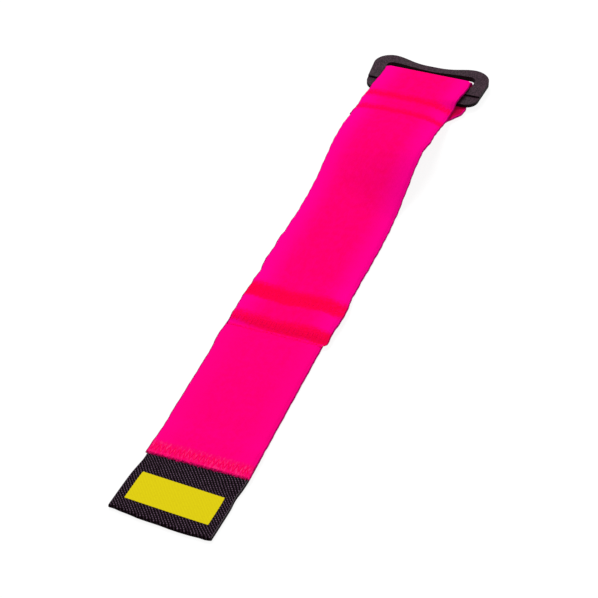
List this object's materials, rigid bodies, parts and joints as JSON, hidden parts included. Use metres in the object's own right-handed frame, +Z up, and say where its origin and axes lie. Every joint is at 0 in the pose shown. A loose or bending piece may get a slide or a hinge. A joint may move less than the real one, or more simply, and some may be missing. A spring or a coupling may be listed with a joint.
{
  "type": "hook and loop cable tie",
  "caption": "Wide hook and loop cable tie laid out flat: two sewn tapes, a folded grab tab with a plain coloured panel, and a moulded cinch ring held in a sewn fold.",
  "frame": {"origin": "centre of the bounding box in plan, at the surface that the tie lies on", "axes": "+X along the tie from the grab tab to the cinch ring, +Y across the tie to its left seen from the tab, +Z up from the surface"},
  "size_m": [0.3944, 0.07, 0.0154],
  "materials": {
    "hook_pink": "fluorescent pink hook tape, short stiff hooks, matt",
    "loop_pink": "fluorescent pink brushed loop tape, soft and matt",
    "thread_pink": "sewing thread in a redder pink",
    "tab_black": "black twill with diagonal ribs",
    "panel_yellow": "plain yellow print, matt",
    "ring_plastic": "black moulded plastic with a fine grain"
  },
  "bodies": {
    "root": {"cinch_ring": "ring_plastic", "end_tab": "tab_black", "hook_tape": "hook_pink", "loop_tape": "loop_pink", "printed_panel": "panel_yellow", "tab_stitches": "thread_pink", "lap_stitches_near": "thread_pink", "lap_stitches_far": "thread_pink", "ring_stitches_near": "thread_pink", "ring_stitches_far": "thread_pink"}
  },
  "joints": []
}
